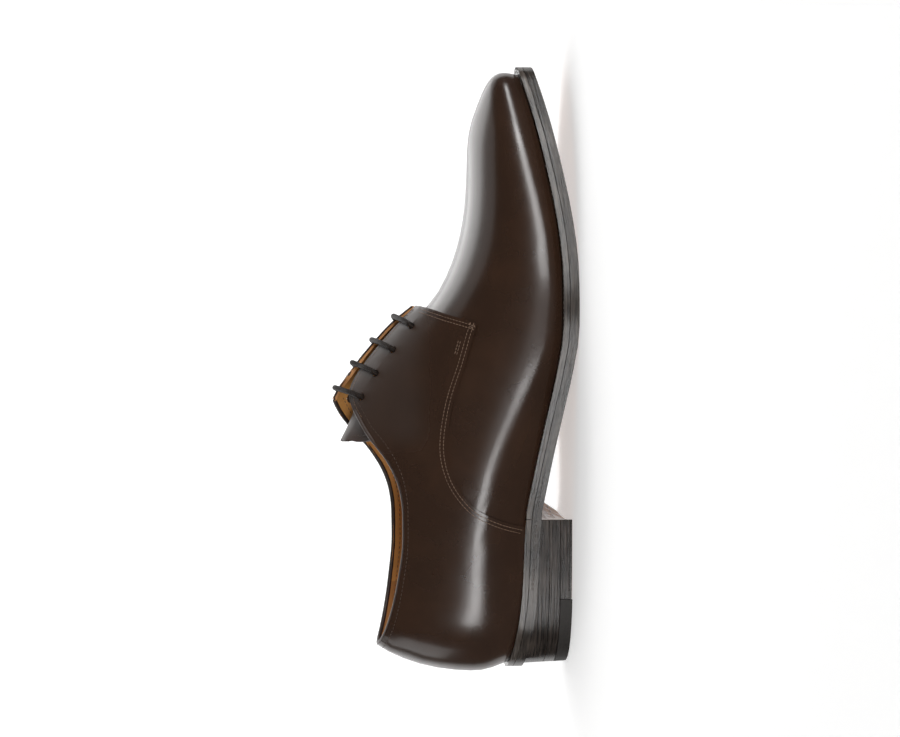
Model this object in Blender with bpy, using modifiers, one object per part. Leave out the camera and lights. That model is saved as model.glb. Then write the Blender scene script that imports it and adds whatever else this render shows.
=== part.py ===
# Plain-toe derby shoe for the right foot, standing empty on its sole.
# Metres, +Z up, +X towards the toe, +Y towards the inner side of the foot.
# Every form of the upper comes from one function of the last, through the sections below.

import math

import bmesh
import bpy
from mathutils import Vector

# Driving sizes of the last
LAST_LENGTH = 0.2952
BALL_WIDTH = 0.096
INSTEP_HEIGHT = 0.094
HEEL_CUP_BULGE = 0.0055
TOE_BULGE = 0.0012
SPINE_HEEL = 0.042
SPINE_TOE = 0.034

# Driving sizes of the bottom
SOLE_REACH = 0.0030
SOLE_LENGTH = LAST_LENGTH + 2 * SOLE_REACH
SOLE_WIDTH = 0.103
HEEL_PITCH = 0.0168
TOE_SPRING = 0.0172
OUTSOLE_THICKNESS = 0.0045
WELT_THICKNESS = 0.0028
WELT_MARGIN = 0.0055
WELT_INNER_RIM = 0.0060
INSOLE_THICKNESS = 0.0030
INSOLE_INSET = 0.0032
HEEL_LENGTH = 0.0751
HEEL_BREAST = SOLE_LENGTH / 2 - HEEL_LENGTH
HEEL_TAPER = 0.0016
HEEL_INSET = 0.0010
TOP_LIFT_THICKNESS = 0.0060
RUBBER_LENGTH = 0.0355
RUBBER_STEP = 0.0004
LIFT_COUNT = 2

# Walls and clearances
VAMP_WALL = 0.0018
QUARTER_WALL = 0.0020
QUARTER_STEP = 0.0011
TONGUE_WALL = 0.0020
GAP = 0.0003

# Throat, collar and laces
FACING_LIFT = 0.0072
THROAT_FRONT = 0.0400
VAMP_OVERLAP = 0.0060
TONGUE_FRONT = 0.0480
TONGUE_HALF_WIDTH = 0.0220
TONGUE_TOP = -0.0370
TONGUE_CORNER = 0.6
TONGUE_FRONT_SHARE = 0.7
LACE_DIAMETER = 0.0027
EYELET_DIAMETER = 0.0036
EYELET_FIRST = 0.0200
EYELET_PITCH = 0.0117
EYELET_COUNT = 4
LACE_RISE = 0.0006
LACE_ARCH = 0.0004
LACE_TURN = 0.13
# How a lace comes out of its hole: height over the leather and distance along it towards the gap
LACE_ENTRY = ((-0.0017, 0.0), (-0.0004, 0.0), (0.0009, 0.0003), (0.0018, 0.0012))
LACE_STEPS = 9

# Breast of the heel: hollow across, leaning forward towards the inner side
BREAST_STEPS = 6
BREAST_HOLLOW = 0.0015
BREAST_LEAN_LOW = 0.0015
BREAST_LEAN_HIGH = 0.0240

# Colours
BROWN_CALF = (0.045, 0.022, 0.014)
TAN_LEATHER = (0.46, 0.23, 0.09)
EDGE_BROWN = (0.035, 0.025, 0.020)
RUBBER_BLACK = (0.020, 0.018, 0.017)
LACE_BROWN = (0.050, 0.032, 0.024)

# How finely the forms are divided
AROUND = 40
SOLE_AROUND = 72
EVEN_SPACING = 0.25
ABOVE_GIRTH = 6
CUTTER_REACH = 0.18
# How far the straight sides of the forms reach below the feather edge before they are cut
FORM_SKIRT = 0.010
HOLLOW_SKIRT = 0.016
PROFILE_STEPS = 26
COLLAR_STEPS = 33

# Sections of the last from heel (-1) to toe (1). Half widths are shares of BALL_WIDTH,
# heights above the feather edge are shares of INSTEP_HEIGHT, margin is a share of WELT_MARGIN,
# round is the exponent of the section's upper curve (2 is an ellipse, less is peaked), crest is
# the ridge's distance from the centre line as a share of BALL_WIDTH, positive towards the inner side.
SECTION_COLUMNS = ("at", "lateral", "medial", "girth", "ridge", "crest", "lift", "round", "margin")
SECTIONS = (
    (-1.000, 0.000, 0.000, 0.165, 0.940, 0.000, 0.00, 2.00, 0.36),
    (-0.945, 0.232, 0.218, 0.168, 0.940, 0.000, 0.00, 1.95, 0.36),
    (-0.850, 0.330, 0.312, 0.178, 0.940, 0.000, 0.00, 1.80, 0.36),
    (-0.745, 0.382, 0.358, 0.194, 0.940, 0.000, 0.00, 1.74, 0.38),
    (-0.610, 0.424, 0.378, 0.205, 0.950, 0.000, 0.20, 1.66, 0.42),
    (-0.440, 0.468, 0.386, 0.208, 0.990, 0.010, 0.70, 1.64, 0.50),
    (-0.270, 0.494, 0.396, 0.182, 1.030, 0.025, 1.15, 1.62, 0.58),
    (-0.135, 0.512, 0.406, 0.133, 1.020, 0.030, 1.15, 1.66, 0.70),
    (0.000, 0.538, 0.416, 0.086, 0.920, 0.015, 1.00, 1.74, 0.84),
    (0.100, 0.548, 0.424, 0.062, 0.805, 0.000, 1.20, 1.81, 0.94),
    (0.170, 0.552, 0.430, 0.057, 0.692, -0.015, 1.25, 1.89, 0.98),
    (0.240, 0.550, 0.434, 0.054, 0.612, -0.025, 0.75, 1.96, 1.00),
    (0.360, 0.530, 0.432, 0.050, 0.515, -0.030, 0.00, 2.05, 0.94),
    (0.510, 0.478, 0.408, 0.058, 0.434, -0.025, 0.00, 2.15, 0.82),
    (0.650, 0.408, 0.368, 0.076, 0.382, -0.015, 0.00, 2.20, 0.74),
    (0.780, 0.324, 0.314, 0.084, 0.338, -0.005, 0.00, 2.20, 0.66),
    (0.880, 0.236, 0.246, 0.082, 0.276, 0.000, 0.00, 2.15, 0.60),
    (0.950, 0.150, 0.172, 0.078, 0.243, 0.000, 0.00, 2.10, 0.56),
    (1.000, 0.000, 0.000, 0.075, 0.222, 0.000, 0.00, 2.10, 0.54),
)

# Outline of the sole, half widths as shares of SOLE_WIDTH, and the height of its underside:
# heel_rise is a share of HEEL_PITCH and toe_rise a share of TOE_SPRING.
SOLE_COLUMNS = ("at", "lateral", "medial", "heel_rise", "toe_rise")
SOLE = (
    (-1.000, 0.000, 0.000, 1.33, 0.00),
    (-0.940, 0.207, 0.196, 1.25, 0.00),
    (-0.830, 0.296, 0.286, 1.11, 0.00),
    (-0.730, 0.325, 0.311, 1.04, 0.00),
    (-0.600, 0.335, 0.306, 1.00, 0.00),
    (-0.500, 0.340, 0.296, 0.96, 0.00),
    (-0.400, 0.350, 0.282, 0.80, 0.00),
    (-0.270, 0.384, 0.277, 0.58, 0.00),
    (-0.130, 0.437, 0.301, 0.33, 0.00),
    (0.000, 0.500, 0.345, 0.12, 0.00),
    (0.120, 0.546, 0.400, 0.00, 0.00),
    (0.200, 0.552, 0.428, 0.00, 0.00),
    (0.290, 0.538, 0.444, 0.00, 0.00),
    (0.400, 0.500, 0.436, 0.00, 0.05),
    (0.530, 0.442, 0.392, 0.00, 0.19),
    (0.660, 0.384, 0.348, 0.00, 0.39),
    (0.790, 0.300, 0.294, 0.00, 0.61),
    (0.890, 0.212, 0.238, 0.00, 0.80),
    (0.960, 0.131, 0.170, 0.00, 0.94),
    (1.000, 0.000, 0.000, 0.00, 1.00),
)

# Top line of the collar in the side view: place along the last (heel -1, toe 1) and
# height above the feather edge as a share of INSTEP_HEIGHT, on the outer and inner side.
COLLAR_COLUMNS = ("at", "lateral", "medial")
COLLAR = (
    (-1.080, 0.734, 0.734),
    (-0.980, 0.726, 0.726),
    (-0.920, 0.686, 0.692),
    (-0.850, 0.661, 0.681),
    (-0.720, 0.631, 0.664),
    (-0.600, 0.614, 0.650),
    (-0.500, 0.623, 0.659),
    (-0.420, 0.658, 0.698),
    (-0.340, 0.720, 0.775),
    (-0.260, 0.816, 0.900),
    (-0.200, 0.912, 1.020),
    (-0.160, 0.985, 1.065),
    (-0.110, 1.040, 1.100),
)

# Front edge of the quarter in the side view, from the throat down to the heel breast:
# place along the last and height above the feather edge as a share of INSTEP_HEIGHT.
QUARTER_EDGE = (
    (0.240, 1.100),
    (0.228, 0.900),
    (0.203, 0.703),
    (0.174, 0.586),
    (0.145, 0.450),
    (0.132, 0.438),
    (0.095, 0.455),
    (0.000, 0.478),
    (-0.110, 0.502),
    (-0.220, 0.500),
    (-0.300, 0.476),
    (-0.375, 0.422),
    (-0.435, 0.345),
    (-0.480, 0.258),
    (-0.515, 0.130),
    (-0.535, 0.000),
    (-0.545, -0.120),
)

# Edges of the two facings seen from above: place along the last, and distance from the
# shoe's centre line as shares of BALL_WIDTH, positive towards the inner side.
FACING_COLUMNS = ("at", "lateral", "medial")
FACING = (
    (-0.300, -0.250, 0.215),
    (-0.230, -0.215, 0.140),
    (-0.170, -0.165, 0.080),
    (-0.125, -0.115, 0.046),
    (-0.070, -0.062, 0.012),
    (-0.030, -0.048, -0.010),
    (0.020, -0.052, 0.000),
    (0.110, -0.070, 0.012),
    (0.210, -0.094, 0.024),
    (0.300, -0.120, 0.045),
)

# The two lines of eyelets seen from above, in the same columns.
EYELET_LINE = (
    (-0.105, -0.158, 0.122),
    (0.140, -0.212, 0.140),
)


def column(table, columns, name):
    """The places and one named column of a table, as two lists."""
    index = columns.index(name)
    return [row[0] for row in table], [row[index] for row in table]


def interpolate(xs, ys, x):
    """Monotone cubic through the points, held level past both ends."""
    if x <= xs[0]:
        return ys[0]
    if x >= xs[-1]:
        return ys[-1]
    slopes = [(ys[i + 1] - ys[i]) / (xs[i + 1] - xs[i]) for i in range(len(xs) - 1)]
    i = max(k for k in range(len(slopes)) if xs[k] <= x)

    def tangent(k):
        if k == 0:
            return slopes[0]
        if k == len(slopes):
            return slopes[-1]
        before, after = slopes[k - 1], slopes[k]
        return 0.0 if before * after <= 0 else 2 * before * after / (before + after)

    width = xs[i + 1] - xs[i]
    t = (x - xs[i]) / width
    low, high = tangent(i) * width, tangent(i + 1) * width
    return (
        (2 * t**3 - 3 * t**2 + 1) * ys[i]
        + (t**3 - 2 * t**2 + t) * low
        + (3 * t**2 - 2 * t**3) * ys[i + 1]
        + (t**3 - t**2) * high
    )


def half_width(table, columns, side, station):
    """Half width at a station. It is read along the angle of the outline, which rounds both ends."""
    places, widths = column(table, columns, side)
    angles = [math.acos(-max(-1.0, min(1.0, place))) for place in places]
    return interpolate(angles, widths, math.acos(-max(-1.0, min(1.0, station))))


def section(name, station):
    return interpolate(*column(SECTIONS, SECTION_COLUMNS, name), station)


def tread(x):
    """Height of the sole's underside."""
    station = 2 * x / SOLE_LENGTH
    heel = interpolate(*column(SOLE, SOLE_COLUMNS, "heel_rise"), station)
    toe = interpolate(*column(SOLE, SOLE_COLUMNS, "toe_rise"), station)
    return heel * HEEL_PITCH + toe * TOE_SPRING


def welt_top(x):
    return tread(x) + OUTSOLE_THICKNESS + GAP + WELT_THICKNESS


def feather(x):
    """Height of the feather edge, where the upper stands on the welt."""
    return welt_top(x) + GAP


def sides(index, count):
    """Station and side of one of the points around an outline, from the heel round the outer side."""
    turn = 2 * math.pi * index / count
    angle = turn + EVEN_SPACING * math.sin(2 * turn) / 2
    return -math.cos(angle), ("lateral" if index <= count / 2 else "medial")


def signed(side):
    return -1.0 if side == "lateral" else 1.0


def sole_point(index, count, inset=0.0):
    """A point of the sole's outline seen from above, moved inwards by inset."""
    station, side = sides(index, count)
    x = station * (SOLE_LENGTH / 2 - inset)
    width = half_width(SOLE, SOLE_COLUMNS, side, station) * SOLE_WIDTH
    across = math.sqrt(max(0.0, 1.0 - station**2)) ** 0.5
    return Vector((x, signed(side) * max(0.0, width - inset * across), 0.0))


def feather_point(index, count):
    """A point of the feather edge seen from above."""
    station, side = sides(index, count)
    point = sole_point(index, count, section("margin", station) * WELT_MARGIN)
    return Vector((station * LAST_LENGTH / 2, point.y, 0.0))


def girth_point(index, count):
    """A point of the last's widest outline seen from above."""
    station, side = sides(index, count)
    bulge = -HEEL_CUP_BULGE if station < 0 else TOE_BULGE
    x = station * LAST_LENGTH / 2 + bulge * station**4
    width = half_width(SECTIONS, SECTION_COLUMNS, side, station) * BALL_WIDTH
    return Vector((x, signed(side) * width, 0.0))


def spine_point(station):
    """A point of the line under the ridge, to which the section's upper curve closes."""
    low = -LAST_LENGTH / 2 + SPINE_HEEL
    high = LAST_LENGTH / 2 - SPINE_TOE
    x = low + (high - low) * (station + 1) / 2
    return Vector((x, section("crest", 2 * x / LAST_LENGTH) * BALL_WIDTH, 0.0))


def last_point(index, count, angle, lifted):
    """A point of the last's surface. The angle runs from 0 at the girth to 90 degrees at the ridge."""
    station, _ = sides(index, count)
    spine = spine_point(station)
    power = 2.0 / section("round", station)
    reach = max(0.0, math.cos(angle)) ** power
    rise = math.sin(angle) ** power
    point = spine + (girth_point(index, count) - spine) * reach
    place = 2 * point.x / LAST_LENGTH
    girth = section("girth", place) * INSTEP_HEIGHT
    ridge = section("ridge", place) * INSTEP_HEIGHT
    lift = section("lift", place) * FACING_LIFT * math.sin(angle) ** 4 if lifted else 0.0
    point.z = feather(point.x) + girth + (ridge - girth) * rise + lift
    return point


def wall_point(index, count, share):
    """A point below the girth, share 0 at the feather edge and 1 at the girth."""
    low, high = feather_point(index, count), girth_point(index, count)
    point = low.lerp(high, 1.0 - (1.0 - share) ** 2)
    girth = section("girth", 2 * point.x / LAST_LENGTH) * INSTEP_HEIGHT
    point.z = feather(point.x) + girth * share
    return point


def skirt_point(index, count, drop):
    """A point straight below the feather edge."""
    point = feather_point(index, count)
    point.z = feather(point.x) - drop
    return point


def link(mesh, name, collection):
    thing = bpy.data.objects.new(name, mesh)
    collection.objects.link(thing)
    return thing


def ladder(bm, ring, flip):
    """Closes a ring of vertices, heel to toe, with quads between its outer and inner half."""
    count = len(ring)
    for i in range(count // 2):
        corners = [ring[i], ring[i + 1], ring[-i - 1], ring[-i % count]]
        corners = list(dict.fromkeys(corners))
        bm.faces.new(corners if flip else corners[::-1])


def last_form(name, collection, lifted=False, offset=0.0, drop=FORM_SKIRT, levels=1):
    """The closed form of the last, with straight sides below the feather edge, moved out by offset."""
    bm = bmesh.new()
    rows = []
    for depth in (drop, drop / 2):
        rows.append([bm.verts.new(skirt_point(i, AROUND, depth)) for i in range(AROUND)])
    for share in (0.0, 0.5):
        rows.append([bm.verts.new(wall_point(i, AROUND, share)) for i in range(AROUND)])
    for step in range(ABOVE_GIRTH):
        angle = math.pi / 2 * step / ABOVE_GIRTH
        rows.append([bm.verts.new(last_point(i, AROUND, angle, lifted)) for i in range(AROUND)])
    half = AROUND // 2
    ridge = [bm.verts.new(last_point(i, AROUND, math.pi / 2, lifted)) for i in range(1, half)]
    for low, high in zip(rows, rows[1:]):
        for i in range(AROUND):
            j = (i + 1) % AROUND
            bm.faces.new((low[i], low[j], high[j], high[i]))
    top = rows[-1]
    bm.faces.new((top[0], top[1], ridge[0], top[-1]))
    bm.faces.new((top[half - 1], top[half], top[half + 1], ridge[-1]))
    for i in range(1, half - 1):
        bm.faces.new((top[i], top[i + 1], ridge[i], ridge[i - 1]))
        bm.faces.new((top[-i - 1], top[-i], ridge[i - 1], ridge[i]))
    ladder(bm, rows[0], True)
    bmesh.ops.recalc_face_normals(bm, faces=bm.faces)
    mesh = bpy.data.meshes.new(name)
    bm.to_mesh(mesh)
    bm.free()
    form = link(mesh, name, collection)
    smooth = form.modifiers.new("Smooth", "SUBSURF")
    smooth.levels = smooth.render_levels = levels
    apply_modifiers(form)
    normals = [vertex.normal.copy() for vertex in form.data.vertices]
    for vertex, normal in zip(form.data.vertices, normals):
        vertex.co += normal * offset
    return form


def apply_modifiers(thing):
    """Replaces the object's mesh by the one its modifiers make."""
    bpy.context.view_layer.update()
    evaluated = thing.evaluated_get(bpy.context.evaluated_depsgraph_get())
    mesh = bpy.data.meshes.new_from_object(evaluated)
    old = thing.data
    thing.modifiers.clear()
    thing.data = mesh
    bpy.data.meshes.remove(old)


def combine(thing, other, operation):
    """Boolean of two closed meshes, applied at once."""
    boolean = thing.modifiers.new(operation.title(), "BOOLEAN")
    boolean.operation = operation
    boolean.object = other
    apply_modifiers(thing)


def triangulate(thing):
    """Splits the faces that Booleans leave, which aren't all flat, into triangles."""
    bm = bmesh.new()
    bm.from_mesh(thing.data)
    bmesh.ops.triangulate(bm, faces=bm.faces)
    bm.to_mesh(thing.data)
    bm.free()


def prism(name, collection, outline, axis, low, high):
    """An outline extruded between two planes. Axis Y takes (x, z) points, axis Z takes (x, y) points."""
    bm = bmesh.new()

    def corner(point, level):
        return (point[0], level, point[1]) if axis == "Y" else (point[0], point[1], level)

    face = bm.faces.new([bm.verts.new(corner(point, low)) for point in outline])
    swept = bmesh.ops.extrude_face_region(bm, geom=[face])["geom"]
    move = Vector((0, high - low, 0)) if axis == "Y" else Vector((0, 0, high - low))
    bmesh.ops.translate(bm, verts=[g for g in swept if isinstance(g, bmesh.types.BMVert)], vec=move)
    bmesh.ops.recalc_face_normals(bm, faces=bm.faces)
    mesh = bpy.data.meshes.new(name)
    bm.to_mesh(mesh)
    bm.free()
    return link(mesh, name, collection)


def smooth_line(points, steps):
    """Catmull-Rom curve through hand-picked points, as a list of pairs."""
    ends = [points[0]] + list(points) + [points[-1]]
    line = []
    for a, b, c, d in zip(ends, ends[1:], ends[2:], ends[3:]):
        for step in range(steps):
            t = step / steps
            line.append(
                tuple(
                    0.5
                    * (
                        2 * q
                        + (r - p) * t
                        + (2 * p - 5 * q + 4 * r - s) * t**2
                        + (3 * q - p - 3 * r + s) * t**3
                    )
                    for p, q, r, s in zip(a, b, c, d)
                )
            )
    return line + [tuple(points[-1])]


def above_feather(at, share):
    """Side-view point (x, z) from a place along the last and a share of the instep height."""
    x = at * LAST_LENGTH / 2
    return x, feather(x) + share * INSTEP_HEIGHT


def collar_cutter(collection):
    """Everything above the top line, sheared so that the inner side of the shoe stays higher."""
    bm = bmesh.new()
    reach, ceiling = BALL_WIDTH, 2 * INSTEP_HEIGHT
    low, high = COLLAR[0][0], COLLAR[-1][0]
    rows = []
    for step in range(COLLAR_STEPS + 1):
        at = low + (high - low) * step / COLLAR_STEPS
        row = []
        for side in ("lateral", "medial"):
            share = interpolate(*column(COLLAR, COLLAR_COLUMNS, side), at)
            x, z = above_feather(at, share)
            row.append(bm.verts.new((x, signed(side) * reach, z)))
        for side in ("medial", "lateral"):
            row.append(bm.verts.new((row[0].co.x, signed(side) * reach, ceiling)))
        rows.append(row)
    for first, second in zip(rows, rows[1:]):
        for i in range(4):
            j = (i + 1) % 4
            bm.faces.new((first[i], first[j], second[j], second[i]))
    bm.faces.new(rows[0][::-1])
    bm.faces.new(rows[-1])
    bmesh.ops.recalc_face_normals(bm, faces=bm.faces)
    mesh = bpy.data.meshes.new("collar_cutter")
    bm.to_mesh(mesh)
    bm.free()
    return link(mesh, "collar_cutter", collection)


def facing_edge(side, at):
    """Distance of a facing's edge from the centre line, seen from above."""
    return interpolate(*column(FACING, FACING_COLUMNS, side), at) * BALL_WIDTH


def throat_cutter(collection):
    """The gap between the two facings, open towards the collar, seen from above."""
    low, high = FACING[0][0], 2 * THROAT_FRONT / LAST_LENGTH
    places = [low + (high - low) * step / PROFILE_STEPS for step in range(PROFILE_STEPS + 1)]
    outline = [(at * LAST_LENGTH / 2, facing_edge("lateral", at)) for at in places]
    outline += [(at * LAST_LENGTH / 2, facing_edge("medial", at)) for at in reversed(places)]
    return prism("throat_cutter", collection, outline, "Z", INSTEP_HEIGHT / 2, 2 * INSTEP_HEIGHT)


def under_cutter(collection):
    """Everything below the feather edge."""
    ends = CUTTER_REACH
    places = [-ends + ends * step / PROFILE_STEPS for step in range(2 * PROFILE_STEPS + 1)]
    outline = [(x, feather(x)) for x in places]
    floor = -INSTEP_HEIGHT
    outline += [(ends, floor), (-ends, floor)]
    return prism("under_cutter", collection, outline, "Y", -BALL_WIDTH, BALL_WIDTH)


def quarter_prism(collection, name, overlap, behind):
    """Side-view region behind the quarter's front edge, or in front of it with an overlap under it."""
    line = smooth_line([above_feather(*row) for row in QUARTER_EDGE], 2)
    line = [(x - overlap, z + overlap) for x, z in line]
    end = -CUTTER_REACH if behind else CUTTER_REACH
    floor, ceiling = -INSTEP_HEIGHT, 2 * INSTEP_HEIGHT
    line = [(line[0][0], ceiling)] + line
    line += [(line[-1][0], floor), (end, floor), (end, ceiling)]
    return prism(name, collection, line, "Y", -BALL_WIDTH, BALL_WIDTH)


def hits(form, base, up):
    """Point and normal of a form over a base point, met by a line that comes down against up."""
    found, place, normal, _ = form.ray_cast(base + up * 3 * INSTEP_HEIGHT, -up)
    if not found:
        raise ValueError("no surface over this point")
    return place.copy(), normal.copy()


def eyelet_places(form):
    """For each row, the outer and inner eyelet: the point on the facing and the surface normal."""
    rows = []
    for row in range(EYELET_COUNT):
        x = EYELET_FIRST - EYELET_PITCH * row
        pair = []
        for side in ("lateral", "medial"):
            share = interpolate(*column(EYELET_LINE, FACING_COLUMNS, side), 2 * x / LAST_LENGTH)
            pair.append(hits(form, Vector((x, share * BALL_WIDTH, 0.0)), Vector((0, 0, 1))))
        rows.append(pair)
    return rows


def eyelet_cutter(collection, index, place, normal):
    bm = bmesh.new()
    depth = 4 * QUARTER_WALL
    turn = Vector((0, 0, 1)).rotation_difference(normal).to_matrix().to_4x4()
    turn.translation = place
    bmesh.ops.create_cone(
        bm,
        cap_ends=True,
        segments=12,
        radius1=EYELET_DIAMETER / 2,
        radius2=EYELET_DIAMETER / 2,
        depth=depth,
        matrix=turn,
    )
    mesh = bpy.data.meshes.new("eyelet_cutter")
    bm.to_mesh(mesh)
    bm.free()
    return link(mesh, f"eyelet_cutter_{index}", collection)


def plate(name, collection, outline, bottom, top):
    """A closed plate between two heights that depend on x. The outline is a ring from the heel round."""
    bm = bmesh.new()
    low = [bm.verts.new((point.x, point.y, bottom(point.x))) for point in outline]
    high = [bm.verts.new((point.x, point.y, top(point.x))) for point in outline]
    ladder(bm, low, True)
    ladder(bm, high, False)
    for i in range(len(outline)):
        j = (i + 1) % len(outline)
        bm.faces.new((low[i], low[j], high[j], high[i]))
    return finish(bm, name, collection)


def ring_plate(name, collection, outer, inner, bottom, top):
    """A closed flat ring between two heights that depend on x."""
    bm = bmesh.new()
    loops = []
    for outline, height in ((outer, bottom), (outer, top), (inner, top), (inner, bottom)):
        loops.append([bm.verts.new((point.x, point.y, height(point.x))) for point in outline])
    for k in range(4):
        first, second = loops[k], loops[(k + 1) % 4]
        for i in range(len(outer)):
            j = (i + 1) % len(outer)
            bm.faces.new((first[i], first[j], second[j], second[i]))
    return finish(bm, name, collection)


def finish(bm, name, collection):
    bmesh.ops.recalc_face_normals(bm, faces=bm.faces)
    mesh = bpy.data.meshes.new(name)
    bm.to_mesh(mesh)
    bm.free()
    return link(mesh, name, collection)


def block(name, collection, low, high):
    """An axis-aligned box between two corners, used as a cutter."""
    outline = [(low[0], low[1]), (high[0], low[1]), (high[0], high[1]), (low[0], high[1])]
    return prism(name, collection, outline, "Z", low[2], high[2])


def copy_of(thing, name, collection):
    return link(thing.data.copy(), name, collection)


def make_upper(parts, cutters, surface):
    """Vamp and quarters as one hollow wall. The quarters lie one step over the vamp."""
    upper = last_form("vamp_form", cutters)
    hollow = last_form("vamp_hollow", cutters, offset=-VAMP_WALL, drop=HOLLOW_SKIRT)
    combine(upper, hollow, "DIFFERENCE")
    combine(upper, quarter_prism(cutters, "vamp_region", VAMP_OVERLAP, False), "INTERSECT")

    quarters = copy_of(surface, "quarter_wall", cutters)
    inset = QUARTER_STEP - QUARTER_WALL
    hollow = last_form("quarter_hollow", cutters, lifted=True, offset=inset, drop=HOLLOW_SKIRT)
    combine(quarters, hollow, "DIFFERENCE")
    combine(quarters, quarter_prism(cutters, "quarter_region", 0.0, True), "INTERSECT")
    combine(quarters, throat_cutter(cutters), "DIFFERENCE")
    combine(quarters, collar_cutter(cutters), "DIFFERENCE")

    combine(upper, quarters, "UNION")
    combine(upper, under_cutter(cutters), "DIFFERENCE")
    for index, (place, normal) in enumerate(sum(eyelet_places(surface), [])):
        combine(upper, eyelet_cutter(cutters, index, place, normal), "DIFFERENCE")
    triangulate(upper)
    upper.name = "upper"
    cutters.objects.unlink(upper)
    parts.objects.link(upper)
    return upper


def make_tongue(parts, cutters):
    """The tongue runs back from under the vamp and stands up between the facings."""
    outer = -(VAMP_WALL + GAP)
    tongue = last_form("tongue", parts, offset=outer)
    hollow = last_form("tongue_hollow", cutters, offset=outer - TONGUE_WALL, drop=HOLLOW_SKIRT)
    combine(tongue, hollow, "DIFFERENCE")
    centre = (facing_edge("lateral", 0.0) + facing_edge("medial", 0.0)) / 2
    corner = TONGUE_CORNER * TONGUE_HALF_WIDTH
    front = TONGUE_FRONT_SHARE * TONGUE_HALF_WIDTH
    outline = [(TONGUE_FRONT, centre - front), (TONGUE_FRONT, centre + front)]
    for step in range(7):
        turn = math.pi / 2 * step / 6
        x = TONGUE_TOP + corner - corner * math.sin(turn)
        outline.append((x, centre + TONGUE_HALF_WIDTH - corner + corner * math.cos(turn)))
    for step in range(6, -1, -1):
        turn = math.pi / 2 * step / 6
        x = TONGUE_TOP + corner - corner * math.sin(turn)
        outline.append((x, centre - TONGUE_HALF_WIDTH + corner - corner * math.cos(turn)))
    region = prism("tongue_region", cutters, outline, "Z", INSTEP_HEIGHT / 2, 2 * INSTEP_HEIGHT)
    combine(tongue, region, "INTERSECT")
    triangulate(tongue)
    return tongue


def make_insole(parts):
    """The insole fills the bottom of the upper, inside its wall."""
    inset = INSOLE_INSET

    def inner(index):
        point = feather_point(index, AROUND)
        station, _ = sides(index, AROUND)
        across = math.sqrt(max(0.0, 1.0 - station**2)) ** 0.5
        width = max(0.0, abs(point.y) - inset * across)
        return Vector((point.x * (1 - 2 * inset / LAST_LENGTH), math.copysign(width, point.y), 0.0))

    outline = [inner(index) for index in range(AROUND)]
    return plate("insole", parts, outline, lambda x: feather(x) + GAP, lambda x: feather(x) + INSOLE_THICKNESS)


def make_bottom(parts, cutters):
    """Outsole, welt round the forefoot and waist, and rand round the heel seat."""
    count = SOLE_AROUND
    outline = [sole_point(index, count) for index in range(count)]
    outsole = plate("outsole", parts, outline, tread, lambda x: tread(x) + OUTSOLE_THICKNESS)

    def rim(index):
        point = feather_point(index, count)
        station, _ = sides(index, count)
        across = math.sqrt(max(0.0, 1.0 - station**2)) ** 0.5
        width = max(0.0, abs(point.y) - WELT_INNER_RIM * across)
        shrink = 1 - 2 * WELT_INNER_RIM / LAST_LENGTH
        return Vector((point.x * shrink, math.copysign(width, point.y), 0.0))

    inner = [rim(index) for index in range(count)]

    def low(x):
        return tread(x) + OUTSOLE_THICKNESS + GAP

    welt = ring_plate("welt", parts, outline, inner, low, welt_top)
    rand = copy_of(welt, "heel_rand", parts)
    reach, ceiling = SOLE_LENGTH, INSTEP_HEIGHT
    breast = -HEEL_BREAST
    rear = block("rear", cutters, (-reach, -reach, -ceiling), (breast + GAP, reach, ceiling))
    front = block("front", cutters, (breast, -reach, -ceiling), (reach, reach, ceiling))
    combine(welt, rear, "DIFFERENCE")
    combine(rand, front, "DIFFERENCE")
    return outsole, welt, rand


def heel_outline(inset, lean):
    """Outline of the heel seen from above, rear half from the sole, with its breast across the front."""
    count = SOLE_AROUND
    rear = [sole_point(index, count, inset) for index in range(count)]
    outer = [point for point in rear[: count // 2] if point.x < -HEEL_BREAST]
    inner = [point for point in rear[count // 2 + 1 :] if point.x < -HEEL_BREAST]
    station = -2 * HEEL_BREAST / SOLE_LENGTH
    low = -half_width(SOLE, SOLE_COLUMNS, "lateral", station) * SOLE_WIDTH + inset
    high = half_width(SOLE, SOLE_COLUMNS, "medial", station) * SOLE_WIDTH - inset
    breast = []
    for step in range(BREAST_STEPS + 1):
        share = step / BREAST_STEPS
        x = -HEEL_BREAST + lean * share**1.5 - BREAST_HOLLOW * math.sin(math.pi * share)
        breast.append(Vector((x, low + (high - low) * share, 0.0)))
    return outer + breast + inner


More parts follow.
